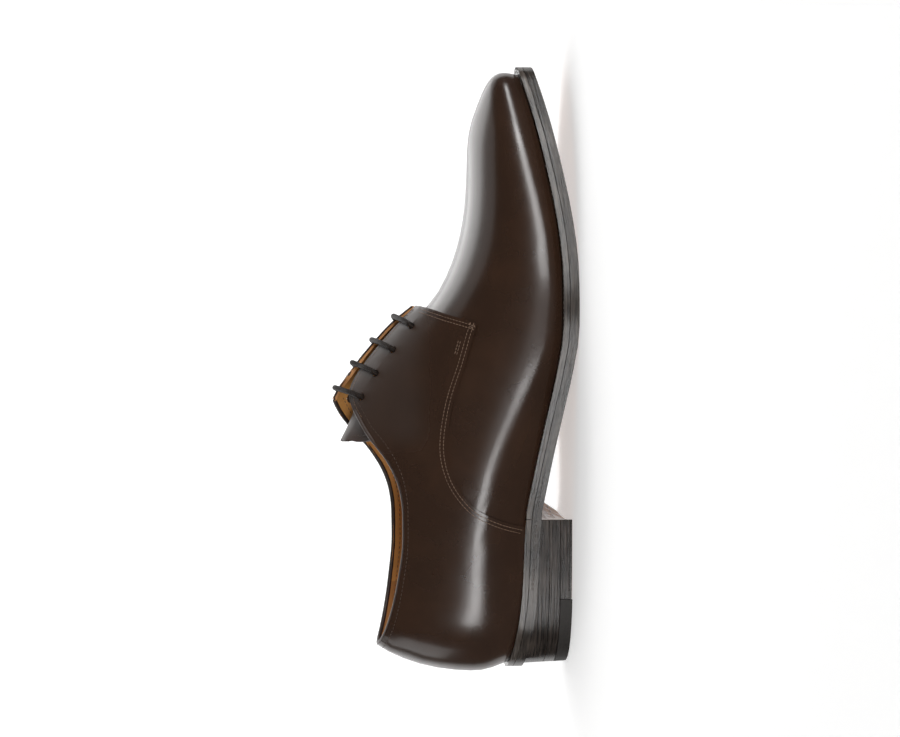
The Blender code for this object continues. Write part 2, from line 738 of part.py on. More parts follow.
def make_heel(parts, cutters):
    """Stacked lifts under the sole, and a top lift whose rear part is rubber."""
    height = 2 * HEEL_PITCH
    bm = bmesh.new()
    low = heel_outline(HEEL_INSET + HEEL_TAPER, BREAST_LEAN_LOW)
    high = heel_outline(HEEL_INSET, BREAST_LEAN_HIGH)
    low = [bm.verts.new((point.x, point.y, 0.0)) for point in low]
    high = [bm.verts.new((point.x, point.y, height)) for point in high]
    bm.faces.new(low[::-1])
    bm.faces.new(high)
    for i in range(len(low)):
        j = (i + 1) % len(low)
        bm.faces.new((low[i], low[j], high[j], high[i]))
    blank = finish(bm, "heel_blank", cutters)

    ends = CUTTER_REACH
    places = [-ends + ends * step / PROFILE_STEPS for step in range(PROFILE_STEPS + 1)]
    line = [(x, tread(x) - GAP) for x in places] + [(0.0, 3 * height), (-ends, 3 * height)]
    combine(blank, prism("above_heel", cutters, line, "Y", -SOLE_WIDTH, SOLE_WIDTH), "DIFFERENCE")

    wide = SOLE_LENGTH
    step = (HEEL_PITCH - TOP_LIFT_THICKNESS) / LIFT_COUNT
    made = []
    for index in range(LIFT_COUNT):
        base = TOP_LIFT_THICKNESS + GAP + step * index
        top = base + step - GAP if index < LIFT_COUNT - 1 else 3 * height
        lift = copy_of(blank, f"heel_lift_{index + 1}", parts)
        slab = block(f"lift_slab_{index}", cutters, (-wide, -wide, base), (wide, wide, top))
        combine(lift, slab, "INTERSECT")
        made.append(lift)
    split = -SOLE_LENGTH / 2 + RUBBER_LENGTH
    top_lift = copy_of(blank, "top_lift", parts)
    low, high = (split + GAP, -wide, RUBBER_STEP), (wide, wide, TOP_LIFT_THICKNESS)
    combine(top_lift, block("top_lift_slab", cutters, low, high), "INTERSECT")
    rubber = copy_of(blank, "heel_rubber", parts)
    low, high = (-wide, -wide, -height), (split, wide, TOP_LIFT_THICKNESS)
    combine(rubber, block("rubber_slab", cutters, low, high), "INTERSECT")
    return made, top_lift, rubber


def lace_entry(place, normal, across):
    """The first points of a bar, out of the hole and round on to the leather."""
    along = (across - normal * across.dot(normal)).normalized()
    return [place + normal * rise + along * run for rise, run in LACE_ENTRY]


def make_laces(parts, surface):
    """One bar of lace over each pair of eyelets, square to the facings, its ends down in the holes."""
    radius = LACE_DIAMETER / 2
    clear = radius + LACE_RISE
    bars = []
    for index, pair in enumerate(eyelet_places(surface)):
        (outer, outer_normal), (inner, inner_normal) = pair
        across = inner - outer
        up = (outer_normal + inner_normal).normalized()
        points = lace_entry(outer, outer_normal, across)
        for step in range(LACE_STEPS + 1):
            share = 0.5 - 0.5 * math.cos(math.pi * step / LACE_STEPS)
            share = LACE_TURN + (1 - 2 * LACE_TURN) * share
            top, normal = hits(surface, outer.lerp(inner, share), up)
            points.append(top + normal * (clear + LACE_ARCH * math.sin(math.pi * share)))
        points += reversed(lace_entry(inner, inner_normal, -across))
        curve = bpy.data.curves.new(f"lace_bar_{index + 1}", "CURVE")
        curve.dimensions = "3D"
        curve.bevel_depth = radius
        curve.bevel_resolution = 2
        curve.use_fill_caps = True
        spline = curve.splines.new("POLY")
        spline.points.add(len(points) - 1)
        for target, point in zip(spline.points, points):
            target.co = (*point, 1.0)
        bars.append(link(curve, f"lace_bar_{index + 1}", parts))
    return bars


def material(name, colour, roughness):
    made = bpy.data.materials.new(name)
    made.use_nodes = True
    shader = made.node_tree.nodes["Principled BSDF"]
    shader.inputs["Base Color"].default_value = (*colour, 1.0)
    shader.inputs["Roughness"].default_value = roughness
    shader.inputs["Metallic"].default_value = 0.0
    return made


def dress(thing, colour, roughness):
    thing.data.materials.clear()
    thing.data.materials.append(material(thing.name, colour, roughness))
    if thing.type == "MESH":
        thing.data.shade_smooth()
        thing.data.set_sharp_from_angle(angle=math.radians(35))


def centre_on_floor(parts):
    """Moves all the pieces so that the origin is under the middle of the whole shoe."""
    bpy.context.view_layer.update()
    corners = [thing.matrix_world @ Vector(c) for thing in parts.objects for c in thing.bound_box]
    xs, ys = [corner.x for corner in corners], [corner.y for corner in corners]
    for thing in parts.objects:
        thing.location -= Vector(((min(xs) + max(xs)) / 2, (min(ys) + max(ys)) / 2, 0.0))


def main():
    for thing in list(bpy.data.objects):
        bpy.data.objects.remove(thing)
    parts = bpy.data.collections.new("derby_shoe")
    cutters = bpy.data.collections.new("cutters")
    for collection in (parts, cutters):
        bpy.context.scene.collection.children.link(collection)

    surface = last_form("quarter_form", cutters, lifted=True, offset=QUARTER_STEP)
    upper = make_upper(parts, cutters, surface)
    tongue = make_tongue(parts, cutters)
    insole = make_insole(parts)
    outsole, welt, rand = make_bottom(parts, cutters)
    lifts, top_lift, rubber = make_heel(parts, cutters)
    bars = make_laces(parts, surface)

    dress(upper, BROWN_CALF, 0.30)
    dress(tongue, BROWN_CALF, 0.35)
    dress(insole, TAN_LEATHER, 0.55)
    for thing in [outsole, welt, rand, top_lift] + lifts:
        dress(thing, EDGE_BROWN, 0.45)
    dress(rubber, RUBBER_BLACK, 0.60)
    for bar in bars:
        dress(bar, LACE_BROWN, 0.55)
    centre_on_floor(parts)
    for cutter in cutters.objects:
        cutter.hide_render = True
        cutter.display_type = "WIRE"


main()
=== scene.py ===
# Looks of the plain-toe derby: leathers, stitches, lace, wheel marks, light and camera.
import math

import bpy
from mathutils import Matrix, Vector
from mathutils.bvhtree import BVHTree


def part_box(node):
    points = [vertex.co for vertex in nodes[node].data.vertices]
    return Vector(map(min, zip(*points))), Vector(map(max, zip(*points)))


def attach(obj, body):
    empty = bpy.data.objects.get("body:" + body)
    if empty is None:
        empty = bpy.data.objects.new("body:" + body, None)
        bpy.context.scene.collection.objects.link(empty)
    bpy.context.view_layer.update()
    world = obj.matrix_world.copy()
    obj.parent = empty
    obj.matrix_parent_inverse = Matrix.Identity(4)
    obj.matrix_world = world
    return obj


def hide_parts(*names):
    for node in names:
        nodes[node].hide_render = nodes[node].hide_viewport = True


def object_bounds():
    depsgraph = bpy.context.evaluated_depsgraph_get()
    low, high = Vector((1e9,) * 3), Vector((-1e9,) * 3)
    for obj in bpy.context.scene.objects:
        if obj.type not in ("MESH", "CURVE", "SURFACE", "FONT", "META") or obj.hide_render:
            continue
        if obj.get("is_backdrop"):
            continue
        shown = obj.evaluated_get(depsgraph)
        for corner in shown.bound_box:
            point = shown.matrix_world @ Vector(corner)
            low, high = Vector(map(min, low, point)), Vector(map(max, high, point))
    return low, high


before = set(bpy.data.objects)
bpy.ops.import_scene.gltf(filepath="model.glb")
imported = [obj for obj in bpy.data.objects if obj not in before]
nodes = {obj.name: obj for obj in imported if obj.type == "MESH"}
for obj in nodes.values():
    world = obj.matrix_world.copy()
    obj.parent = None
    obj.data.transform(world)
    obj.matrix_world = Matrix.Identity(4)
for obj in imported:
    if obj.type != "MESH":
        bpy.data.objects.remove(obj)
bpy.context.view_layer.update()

# Sizes in metres
MM = 0.001
COLLAR_CENTRE = Vector((-0.085, 0.004, 0.0))
FOLD_RADIUS = 0.00110
FOLD_SINK = 0.00030
STITCH_PITCH = 0.0018
STITCH_LENGTH = 0.0015
STITCH_WIDTH = 0.00038
LACE_RADIUS = 0.00135
LACE_LIFT = 0.00018
EYELET_RADIUS = 0.0026
EYELET_DEPTH = 0.0004
WHEEL_PITCH = 0.0024
GRIP_SEAM = -0.108
BEAD_RADIUS = 0.0005
BEAD_SHIFT = 0.0003
TAB_EDGE_RADIUS = 0.00035
TACK_DEPTH = 0.0052
FACING_RISE = 0.0027
FACING_RISE_WIDTH = 0.0105
TONGUE_ROUND = 0.0012
TONGUE_EDGE_RADIUS = 0.00095
TONGUE_EDGE_SHIFT = 0.0008
TONGUE_RISE = 0.0026
TONGUE_DARK_END = -0.031
FACING_LOWEST = 0.066
FACING_SLACK = 0.0035
SEAM_SHIFTS = (0.0016, 0.0033)
FACING_STITCH_SHIFT = 0.0022
TACK_SPAN = (0.0050, 0.0145)
LOWEST_RIM = 0.072
RIM_DEPTH = 0.0009
RIM_STEP = 0.00025
RIM_REACH = 0.012
EYELET_RIM = 0.0027
RUN_ASIDE = 0.0030
WELT_MARK = (0.0011, 0.0010, 0.0004)
WELT_MARK_RISE = 0.0028
WELT_MARK_INSET = 0.0006
SEAT_MARK = (0.0008, 0.00030, 0.0011)
SEAT_MARK_RISE = 0.0026
RAY_HEIGHT = 0.2
SIDE_REACH = 0.09
STAGE_SIZE = 8.0
CAMERA_DISTANCE = 1.6
SHOE_MIDDLE = Vector((0.0, 0.0, 0.05))

# Directions and angles
DOWN = Vector((0, 0, -1))
LEATHER_ANGLE = math.radians(38)
SOLE_ANGLE = math.radians(28)
CAMERA_ELEVATION = math.radians(5.5)

# The quarter's front edge in the side view (x, z), in millimetres, from the throat to the welt
QUARTER_SEAM = (
    (31.0, 74.0), (26.7, 63.0), (22.4, 50.2), (20.5, 49.1), (15.0, 50.8), (1.0, 54.8), (-15.2, 60.0),
    (-31.5, 63.0), (-43.3, 63.1), (-54.3, 60.1), (-63.2, 54.6), (-69.8, 47.7), (-75.0, 36.3), (-77.9, 25.5),
)

# The eyelets from above, in millimetres: place along the shoe, outer hole, inner hole
FIRST_EYELETS = (21.02, -14.62, 19.05)
EYELET_STEP = (-11.70, 1.68, -0.56)
EYELET_ROWS = 4

# How the lace comes up through a hole: height over the leather and distance along it
LACE_BEND = ((-0.0036, 0.0), (-0.0018, 0.0), (-0.0002, 0.0), (0.0009, 0.0004), (0.00150, 0.0014))
RUN_DEPTH = 0.0042

# A line inside the tongue's end from above, in millimetres
TONGUE_END = (
    (-20.0, -16.2), (-26.0, -15.4), (-30.8, -12.0), (-33.2, -6.0), (-33.6, 2.0), (-33.6, 6.0),
    (-32.8, 12.5), (-30.4, 18.0), (-26.0, 21.2), (-20.0, 22.2),
)

# Edges of the two facings from above, in millimetres: place, outer edge, inner edge
FACINGS = (
    (-24.1, -10.2, 13.3), (-17.4, -5.4, 10.1), (-9.3, -0.3, 6.8), (-3.4, 1.0, 4.7),
    (4.0, 0.6, 5.6), (17.3, -1.1, 6.8), (32.0, -3.4, 7.9),
)

# Front edge of the back tab: direction from the collar's middle in degrees, and height in metres
TAB_FRONT = ((138, 0.0850), (142, 0.0790), (150, 0.0735), (160, 0.0700), (169, 0.0650), (174, 0.0590))

# Creases of the vamp: place along the shoe, lean, width and depth as a share
CREASE_LINES = (
    (0.052, 0.22, 0.0042, 1.0),
    (0.064, 0.30, 0.0036, 0.7),
    (0.041, 0.12, 0.0050, 0.5),
    (0.078, 0.36, 0.0030, 0.3),
)

# Dye of the calf leather from dark to light, each shade with its place on the ramp
CALF_DYE = (
    (0.25, (0.0230, 0.0116, 0.0070)),
    (0.50, (0.0275, 0.0138, 0.0082)),
    (0.78, (0.0345, 0.0168, 0.0096)),
)

# Studio lights: name, place, width and height in metres, power in watts
LIGHTS = (
    ("toe_side_strip", (1.82, -2.6, 0.37), (2.4, 0.58), 44.0),
    ("middle_card", (0.14, -2.6, 0.37), (0.9, 0.50), 1.6),
    ("heel_side_strip", (-1.48, -2.6, 0.17), (2.3, 0.50), 38.0),
    ("toe_strip", (3.2, -1.0, 0.44), (2.6, 0.56), 42.0),
    ("rear_low", (0.0, 1.84, 1.60), (3.4, 1.7), 30.0),
    ("rear_high", (0.0, 0.60, 2.35), (3.4, 1.5), 10.0),
    ("heel_card", (-2.2, 0.2, 0.8), (1.2, 1.0), 5.5),
)


def deselect():
    for thing in bpy.context.selected_objects:
        thing.select_set(False)


def pick(thing):
    """Makes one object the only selected and the active one."""
    deselect()
    thing.select_set(True)
    bpy.context.view_layer.objects.active = thing


def settle(thing, name, material):
    """Names a finished piece, gives it its material and lets it ride on the shoe."""
    pick(thing)
    bpy.ops.object.transform_apply(location=True, rotation=True, scale=True)
    thing.name = name
    if material is not None:
        thing.data.materials.clear()
        thing.data.materials.append(material)
    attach(thing, "root")
    return thing


def joined(things, name, material):
    deselect()
    for thing in things:
        thing.select_set(True)
    bpy.context.view_layer.objects.active = things[0]
    bpy.ops.object.join()
    return settle(bpy.context.object, name, material)


def curve_points(points, steps):
    """Catmull-Rom curve through given points."""
    ends = [points[0]] + list(points) + [points[-1]]
    line = []
    for a, b, c, d in zip(ends, ends[1:], ends[2:], ends[3:]):
        for step in range(steps):
            t = step / steps
            bend = (c - a) * t + (2 * a - 5 * b + 4 * c - d) * t**2 + (3 * b - a - 3 * c + d) * t**3
            line.append(b + bend * 0.5)
    return line + [points[-1].copy()]


def evenly(points, pitch):
    """Points a pitch apart along a line, each with its direction."""
    result, left = [], pitch / 2
    for a, b in zip(points, points[1:]):
        length = (b - a).length
        while left < length:
            result.append((a.lerp(b, left / length), (b - a).normalized()))
            left += pitch
        left -= length
    return result


def surface_of(thing):
    mesh = thing.data
    return BVHTree.FromPolygons([v.co for v in mesh.vertices], [tuple(f.vertices) for f in mesh.polygons])


# Materials

def new_group(name, inputs, outputs):
    group = bpy.data.node_groups.new(name, "ShaderNodeTree")
    for label, value in inputs:
        socket = group.interface.new_socket(label, in_out="INPUT", socket_type="NodeSocketFloat")
        socket.default_value = value
    for label, kind in outputs:
        group.interface.new_socket(label, in_out="OUTPUT", socket_type=kind)
    return group, group.nodes.new("NodeGroupInput"), group.nodes.new("NodeGroupOutput")


def maths(tree, operation, a, b=0.0, c=0.0):
    """A Math node between sockets or numbers."""
    node = tree.nodes.new("ShaderNodeMath")
    node.operation = operation
    for index, value in enumerate((a, b, c)):
        if isinstance(value, bpy.types.NodeSocket):
            tree.links.new(value, node.inputs[index])
        else:
            node.inputs[index].default_value = value
    return node.outputs[0]


def noise(tree, vector, scale, detail=3.0, rough=0.55):
    node = tree.nodes.new("ShaderNodeTexNoise")
    node.inputs["Scale"].default_value = scale
    node.inputs["Detail"].default_value = detail
    node.inputs["Roughness"].default_value = rough
    tree.links.new(vector, node.inputs["Vector"])
    return node.outputs["Fac"]


def stretched(tree, vector, scale):
    node = tree.nodes.new("ShaderNodeMapping")
    node.inputs["Scale"].default_value = scale
    tree.links.new(vector, node.inputs["Vector"])
    return node.outputs["Vector"]


def ramp(tree, factor, stops):
    node = tree.nodes.new("ShaderNodeValToRGB")
    elements = node.color_ramp.elements
    while len(elements) < len(stops):
        elements.new(0.5)
    for element, (place, colour) in zip(elements, stops):
        element.position = place
        element.color = (*colour, 1.0)
    tree.links.new(factor, node.inputs["Fac"])
    return node.outputs["Color"]


def leather_grain():
    """Fine pores and cells of leather: a height and a cloudy mask."""
    group, start, end = new_group(
        "leather grain",
        (("Pores", 1.0), ("Cells", 1.0)),
        (("Height", "NodeSocketFloat"), ("Clouds", "NodeSocketFloat")),
    )
    place = group.nodes.new("ShaderNodeTexCoord").outputs["Object"]
    cells = group.nodes.new("ShaderNodeTexVoronoi")
    cells.inputs["Scale"].default_value = 1500.0
    group.links.new(place, cells.inputs["Vector"])
    fine = noise(group, place, 2600.0, 4.0, 0.6)
    pores = maths(group, "MULTIPLY", fine, start.outputs["Pores"])
    shape = maths(group, "MULTIPLY", cells.outputs["Distance"], start.outputs["Cells"])
    group.links.new(maths(group, "ADD", pores, shape), end.inputs["Height"])
    group.links.new(noise(group, place, 38.0, 4.0, 0.55), end.inputs["Clouds"])
    return group


def flex_creases():
    """Soft troughs across the vamp where the foot bends it."""
    group, start, end = new_group("flex creases", (("Depth", 1.0),), (("Height", "NodeSocketFloat"),))
    place = group.nodes.new("ShaderNodeTexCoord").outputs["Object"]
    axes = group.nodes.new("ShaderNodeSeparateXYZ")
    group.links.new(place, axes.inputs[0])
    x, y, z = axes.outputs
    sway = maths(group, "MULTIPLY", maths(group, "SUBTRACT", noise(group, place, 22.0, 2.0), 0.5), 0.012)
    away = maths(group, "ABSOLUTE", y)
    total = None
    for centre, lean, width, depth in CREASE_LINES:
        line = maths(group, "ADD", maths(group, "ADD", x, sway), maths(group, "MULTIPLY", away, lean))
        offset = maths(group, "DIVIDE", maths(group, "SUBTRACT", line, centre), width)
        square = maths(group, "MULTIPLY", offset, offset)
        bell = maths(group, "EXPONENT", maths(group, "MULTIPLY", square, -1.0))
        fold = maths(group, "MULTIPLY", bell, -depth)
        total = fold if total is None else maths(group, "ADD", total, fold)
    above = group.nodes.new("ShaderNodeMapRange")
    above.inputs["From Min"].default_value = 0.016
    above.inputs["From Max"].default_value = 0.044
    group.links.new(z, above.inputs["Value"])
    shaped = maths(group, "MULTIPLY", total, above.outputs[0])
    group.links.new(maths(group, "MULTIPLY", shaped, start.outputs["Depth"]), end.inputs["Height"])
    return group


def height_over_sole():
    """Height above the sole's own curve, so that streaks run along its edge."""
    group, _, end = new_group("height over sole", (), (("Height", "NodeSocketFloat"),))
    place = group.nodes.new("ShaderNodeTexCoord").outputs["Object"]
    axes = group.nodes.new("ShaderNodeSeparateXYZ")
    group.links.new(place, axes.inputs[0])
    x, _, z = axes.outputs
    toe = maths(group, "MAXIMUM", maths(group, "SUBTRACT", x, 0.042), 0.0)
    toe = maths(group, "MULTIPLY", maths(group, "POWER", toe, 1.6), 0.62)
    waist = maths(group, "MINIMUM", maths(group, "MAXIMUM", maths(group, "SUBTRACT", 0.014, x), 0.0), 0.085)
    waist = maths(group, "MULTIPLY", waist, 0.178)
    group.links.new(maths(group, "SUBTRACT", maths(group, "SUBTRACT", z, toe), waist), end.inputs["Height"])
    return group


def shader_of(name):
    made = bpy.data.materials.new(name)
    made.use_nodes = True
    return made, made.node_tree, made.node_tree.nodes["Principled BSDF"]


def place_group(tree, group, **values):
    node = tree.nodes.new("ShaderNodeGroup")
    node.node_tree = group
    for label, value in values.items():
        node.inputs[label].default_value = value
    return node


def bump(tree, height, strength, distance, under=None):
    node = tree.nodes.new("ShaderNodeBump")
    node.inputs["Strength"].default_value = strength
    node.inputs["Distance"].default_value = distance
    tree.links.new(height, node.inputs["Height"])
    if under is not None:
        tree.links.new(under, node.inputs["Normal"])
    return node.outputs["Normal"]


def mixed_colour(tree, factor, first, second):
    node = tree.nodes.new("ShaderNodeMix")
    node.data_type = "RGBA"
    tree.links.new(factor, node.inputs["Factor"])
    for socket, value in ((node.inputs[6], first), (node.inputs[7], second)):
        if isinstance(value, bpy.types.NodeSocket):
            tree.links.new(value, socket)
        else:
            socket.default_value = (*value, 1.0)
    return node.outputs[2]


def dull_top(tree, place):
    """Mask of the facings, which are handled and less polished than the rest."""
    axes = tree.nodes.new("ShaderNodeSeparateXYZ")
    tree.links.new(place, axes.inputs[0])
    mask = None
    for axis, low, high in ((0, 0.0330, 0.0300), (0, -0.0500, -0.0250), (2, 0.0640, 0.0860)):
        span = tree.nodes.new("ShaderNodeMapRange")
        span.interpolation_type = "SMOOTHERSTEP"
        span.inputs["From Min"].default_value = low
        span.inputs["From Max"].default_value = high
        tree.links.new(axes.outputs[axis], span.inputs["Value"])
        mask = span.outputs[0] if mask is None else maths(tree, "MULTIPLY", mask, span.outputs[0])
    return mask


def calf_leather(grain, creases):
    """Polished dark brown calf: cloudy dye, fine pores, a waxed coat and soft flex creases."""
    made, tree, shader = shader_of("polished brown calf")
    leather = place_group(tree, grain, Pores=0.5, Cells=0.7)
    folds = place_group(tree, creases, Depth=0.22)
    colour = ramp(tree, leather.outputs["Clouds"], CALF_DYE)
    tree.links.new(colour, shader.inputs["Base Color"])
    place = tree.nodes.new("ShaderNodeTexCoord").outputs["Object"]
    worn = noise(tree, place, 90.0, 5.0, 0.6)
    dull = dull_top(tree, place)
    polish = maths(tree, "MULTIPLY_ADD", worn, 0.08, 0.18)
    tree.links.new(maths(tree, "MULTIPLY_ADD", dull, 0.26, polish), shader.inputs["Roughness"])
    tree.links.new(maths(tree, "MULTIPLY_ADD", dull, -0.16, 0.16), shader.inputs["Coat Weight"])
    soft = bump(tree, folds.outputs["Height"], 0.6, 0.0006)
    tree.links.new(bump(tree, leather.outputs["Height"], 0.35, 0.00005, soft), shader.inputs["Normal"])
    shader.inputs["Coat Roughness"].default_value = 0.13
    return made


def soft_leather(name, dark, light, roughness, grain, pores, grip=None):
    """Matt vegetable-tanned leather with clouds of a second shade, and of a heel grip behind its seam."""
    made, tree, shader = shader_of(name)
    leather = place_group(tree, grain, Pores=pores, Cells=0.4)
    colour = ramp(tree, leather.outputs["Clouds"], ((0.3, dark), (0.7, light)))
    place = tree.nodes.new("ShaderNodeTexCoord").outputs["Object"]
    if grip is not None:
        axes = tree.nodes.new("ShaderNodeSeparateXYZ")
        tree.links.new(place, axes.inputs[0])
        behind = tree.nodes.new("ShaderNodeMapRange")
        behind.inputs["From Min"].default_value = GRIP_SEAM + 0.0002
        behind.inputs["From Max"].default_value = GRIP_SEAM - 0.0002
        tree.links.new(axes.outputs[0], behind.inputs["Value"])
        colour = mixed_colour(tree, behind.outputs[0], colour, ramp(tree, leather.outputs["Clouds"], grip))
    tree.links.new(colour, shader.inputs["Base Color"])
    rubbed = noise(tree, place, 140.0, 4.0)
    tree.links.new(maths(tree, "MULTIPLY_ADD", rubbed, 0.18, roughness), shader.inputs["Roughness"])
    tree.links.new(bump(tree, leather.outputs["Height"], 0.35, 0.00008), shader.inputs["Normal"])
    return made


def facing_mask(tree, axis, sign, low, high):
    """Mask of the faces that look along one axis, such as the breast of the heel or the tread."""
    geometry = tree.nodes.new("ShaderNodeNewGeometry")
    axes = tree.nodes.new("ShaderNodeSeparateXYZ")
    tree.links.new(geometry.outputs["Normal"], axes.inputs[0])
    span = tree.nodes.new("ShaderNodeMapRange")
    span.inputs["From Min"].default_value = low
    span.inputs["From Max"].default_value = high
    tree.links.new(maths(tree, "MULTIPLY", axes.outputs[axis], sign), span.inputs["Value"])
    return span.outputs[0]


def edge_leather(name, dark, light, roughness, over_sole, stretch, lean, has_breast):
    """Waxed edge of sole leather, a little rounded upwards, plain brown on its breast and tread."""
    made, tree, shader = shader_of(name)
    height = place_group(tree, over_sole).outputs["Height"]
    place = tree.nodes.new("ShaderNodeTexCoord").outputs["Object"]
    axes = tree.nodes.new("ShaderNodeSeparateXYZ")
    tree.links.new(place, axes.inputs[0])
    along = tree.nodes.new("ShaderNodeCombineXYZ")
    tree.links.new(axes.outputs[0], along.inputs[0])
    tree.links.new(axes.outputs[1], along.inputs[1])
    tree.links.new(height, along.inputs[2])
    fibres = noise(tree, stretched(tree, along.outputs[0], stretch), 1.0, 6.0, 0.68)
    blotches = noise(tree, place, 60.0, 3.0)
    mixed = maths(tree, "ADD", maths(tree, "MULTIPLY", fibres, 0.75), maths(tree, "MULTIPLY", blotches, 0.25))
    middle = tuple((a + b) / 2.6 for a, b in zip(dark, light))
    waxed = ramp(tree, mixed, ((0.40, dark), (0.50, middle), (0.62, light)))
    natural = ramp(tree, mixed, ((0.36, (0.150, 0.058, 0.022)), (0.66, (0.300, 0.138, 0.056))))
    bare = facing_mask(tree, 2, -1.0, 0.70, 0.90)
    if has_breast:
        bare = maths(tree, "MAXIMUM", bare, facing_mask(tree, 0, 1.0, 0.62, 0.80))
    tree.links.new(mixed_colour(tree, bare, waxed, natural), shader.inputs["Base Color"])
    tree.links.new(maths(tree, "MULTIPLY_ADD", fibres, 0.16, roughness), shader.inputs["Roughness"])
    rounded = bump(tree, maths(tree, "MULTIPLY", height, -lean), 1.0, 1.0)
    tree.links.new(bump(tree, fibres, 0.45, 0.00028, rounded), shader.inputs["Normal"])
    shader.inputs["Specular IOR Level"].default_value = 0.38
    shader.inputs["Coat Weight"].default_value = 0.05
    shader.inputs["Coat Roughness"].default_value = 0.22
    return made


def thread(name, dark, light):
    """Waxed sewing thread with a fine twist."""
    made, tree, shader = shader_of(name)
    place = tree.nodes.new("ShaderNodeTexCoord").outputs["Object"]
    twist = noise(tree, place, 1900.0, 3.0)
    tree.links.new(ramp(tree, twist, ((0.3, dark), (0.7, light))), shader.inputs["Base Color"])
    shader.inputs["Roughness"].default_value = 0.62
    tree.links.new(bump(tree, twist, 0.4, 0.00010), shader.inputs["Normal"])
    return made


def lace_cord():
    """Round waxed cotton lace: its braid runs round it in fine slanting ridges, with painted shade in the
    grooves.
    """
    made, tree, shader = shader_of("waxed brown lace")
    place = tree.nodes.new("ShaderNodeTexCoord").outputs["Object"]
    ridges = None
    for slant in (1.0, -1.0):
        wave = tree.nodes.new("ShaderNodeTexWave")
        wave.bands_direction = "X"
        wave.inputs["Scale"].default_value = 330.0
        turned = tree.nodes.new("ShaderNodeMapping")
        turned.inputs["Rotation"].default_value = (0.35 * slant, 0.25 * slant, math.radians(90 + 32 * slant))
        tree.links.new(place, turned.inputs["Vector"])
        tree.links.new(turned.outputs["Vector"], wave.inputs["Vector"])
        ridge = wave.outputs["Fac"]
        ridges = ridge if ridges is None else maths(tree, "MULTIPLY", ridges, ridge)
    # Painted shade: darker in the braid's grooves and lighter on its ridges, following the bump's height
    colour = ramp(tree, ridges, ((0.0, (0.0080, 0.0054, 0.0044)), (0.8, (0.0250, 0.0155, 0.0110))))
    tree.links.new(colour, shader.inputs["Base Color"])
    shader.inputs["Roughness"].default_value = 0.58
    shader.inputs["Specular IOR Level"].default_value = 0.14
    tree.links.new(bump(tree, ridges, 0.6, 0.00022), shader.inputs["Normal"])
    return made


def rubber_compound():
    made, tree, shader = shader_of("black heel rubber")
    place = tree.nodes.new("ShaderNodeTexCoord").outputs["Object"]
    specks = noise(tree, place, 900.0, 5.0, 0.7)
    colour = ramp(tree, specks, ((0.3, (0.0120, 0.0100, 0.0088)), (0.7, (0.0260, 0.0210, 0.0180))))
    tree.links.new(colour, shader.inputs["Base Color"])
    tree.links.new(maths(tree, "MULTIPLY_ADD", specks, 0.2, 0.48), shader.inputs["Roughness"])
    tree.links.new(bump(tree, specks, 0.3, 0.00015), shader.inputs["Normal"])
    return made


GRAIN = leather_grain()
CREASES = flex_creases()
OVER_SOLE = height_over_sole()
CALF = calf_leather(GRAIN, CREASES)
LINING = soft_leather(
    "ochre quarter lining", (0.500, 0.222, 0.060), (0.660, 0.325, 0.100), 0.46, GRAIN, 0.6,
    ((0.3, (0.340, 0.145, 0.045)), (0.7, (0.450, 0.205, 0.068))),
)
SOCK = soft_leather("tan insole leather", (0.430, 0.225, 0.092), (0.560, 0.315, 0.145), 0.50, GRAIN, 0.8)
RAW = soft_leather("cut leather edge", (0.330, 0.140, 0.044), (0.560, 0.262, 0.085), 0.60, GRAIN, 1.5)
TONGUE = soft_leather(
    "matt brown tongue leather", (0.0240, 0.0130, 0.0092), (0.0360, 0.0190, 0.0130), 0.42, GRAIN, 0.9,
)
WELT = edge_leather(
    "waxed welt edge", (0.0090, 0.0068, 0.0056), (0.085, 0.069, 0.058), 0.12, OVER_SOLE,
    (40.0, 40.0, 640.0), 0.11, False,
)
EDGE = edge_leather(
    "waxed sole edge", (0.0080, 0.0060, 0.0050), (0.062, 0.050, 0.042), 0.15, OVER_SOLE,
    (40.0, 40.0, 640.0), 0.07, False,
)
STACK = edge_leather(
    "waxed heel lifts", (0.0070, 0.0051, 0.0043), (0.048, 0.037, 0.031), 0.17, OVER_SOLE,
    (34.0, 34.0, 820.0), 0.06, True,
)
THREAD = thread("brown sewing thread", (0.085, 0.050, 0.032), (0.200, 0.126, 0.082))
DARK_THREAD = thread("dark edge thread", (0.030, 0.018, 0.013), (0.085, 0.052, 0.036))
LACE = lace_cord()
RUBBER = rubber_compound()


# The upper: a copy of the CAD's wall with its outside, lining and cut edges told apart

def facing_edges(x):
    """The two facing edges at a place along the shoe, from the listed table."""
    rows = FACINGS
    x = max(rows[0][0] * MM, min(rows[-1][0] * MM, x)) / MM
    for low, high in zip(rows, rows[1:]):
        if x <= high[0]:
            t = (x - low[0]) / (high[0] - low[0])
            return (low[1] + (high[1] - low[1]) * t) * MM, (low[2] + (high[2] - low[2]) * t) * MM
    return rows[-1][1] * MM, rows[-1][2] * MM


def core_of(place):
    """A point inside the foot's space, level with a place on the wall."""
    height = 0.062 if place.x < -0.02 else max(0.026, 0.062 - 0.33 * (place.x + 0.02))
    x = max(-0.115, min(0.118, place.x))
    return Vector((x, 0.004, height))


def merged_copy(node):
    piece = bpy.data.objects.new(node + "_copy", nodes[node].data.copy())
    bpy.context.scene.collection.objects.link(piece)
    pick(piece)
    bpy.ops.mesh.customdata_custom_splitnormals_clear()
    bpy.ops.object.mode_set(mode="EDIT")
    bpy.ops.mesh.select_all(action="SELECT")
    bpy.ops.mesh.remove_doubles(threshold=1e-6)
    bpy.ops.mesh.dissolve_degenerate(threshold=4e-5)
    bpy.ops.object.mode_set(mode="OBJECT")
    return piece


